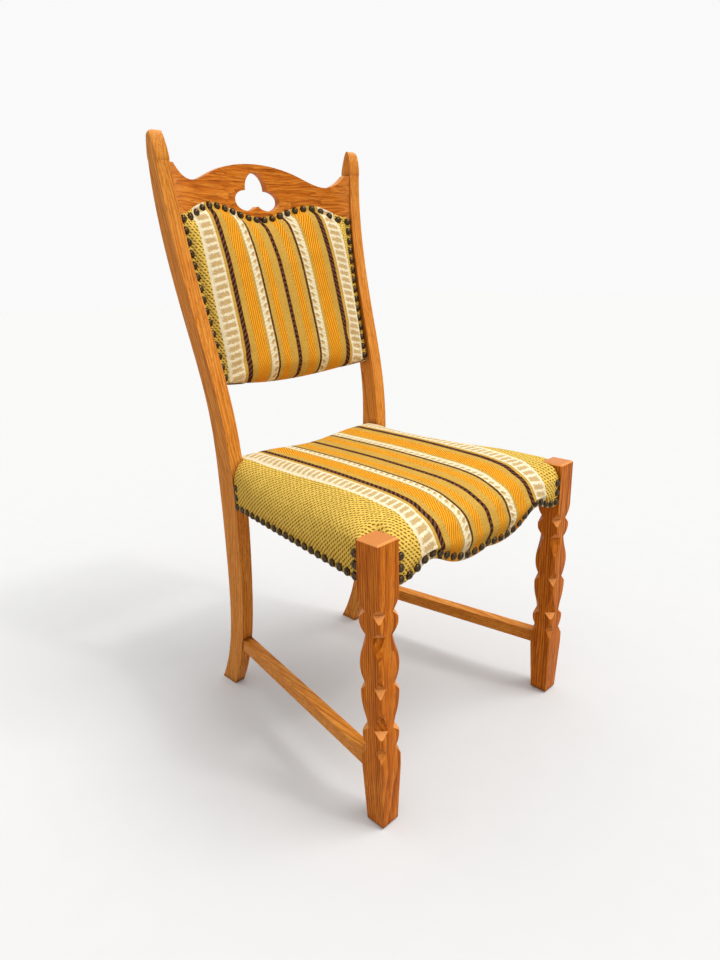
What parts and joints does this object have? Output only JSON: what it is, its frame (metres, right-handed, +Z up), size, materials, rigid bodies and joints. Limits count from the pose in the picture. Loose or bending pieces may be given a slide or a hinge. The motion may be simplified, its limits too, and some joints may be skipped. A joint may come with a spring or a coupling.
{
  "type": "side chair",
  "caption": "Oak side chair with carved front legs, swept rear posts, a trefoil crest rail and a stuffed seat and back in striped wool held by domed nails.",
  "frame": {"origin": "middle of the chair's footprint, on the floor under its four feet", "axes": "+Z up, the front of the chair faces -Y, +X is to the right seen from the front"},
  "size_m": [0.496, 0.5458, 1.0035],
  "materials": {
    "oak": "satin oiled oak, open grain",
    "frame_wood": "bare planed wood",
    "screw_steel": "zinc plated",
    "webbing": "woven jute webbing",
    "hessian": "plain woven jute",
    "padding": "stuffing under a plain lining",
    "striped_wool": "woven wool, mustard with orange, cream and brown stripes",
    "nail_bronze": "antiqued, dark domed heads"
  },
  "bodies": {
    "root": {"rear_post_left": "oak", "rear_post_right": "oak", "front_leg_left": "oak", "front_leg_right": "oak", "crest_rail": "oak", "side_stretcher_left": "oak", "side_stretcher_right": "oak", "front_seat_rail": "frame_wood", "rear_seat_rail": "frame_wood", "side_seat_rail_left": "frame_wood", "side_seat_rail_right": "frame_wood", "lower_back_rail": "frame_wood", "back_batten_left": "frame_wood", "back_batten_right": "frame_wood", "corner_block_front_left": "frame_wood", "corner_block_front_right": "frame_wood", "corner_block_rear_left": "frame_wood", "corner_block_rear_right": "frame_wood", "corner_block_screws": "screw_steel", "seat_webbing_long": "webbing", "seat_webbing_cross": "webbing", "seat_hessian": "hessian", "back_hessian": "hessian", "seat_pad": "padding", "back_pad": "padding", "seat_cover": "striped_wool", "back_cover": "striped_wool", "outside_back_cover": "striped_wool", "seat_nails_front": "nail_bronze", "seat_nails_left": "nail_bronze", "seat_nails_right": "nail_bronze", "back_nails": "nail_bronze", "outside_back_nails": "nail_bronze"}
  },
  "joints": []
}
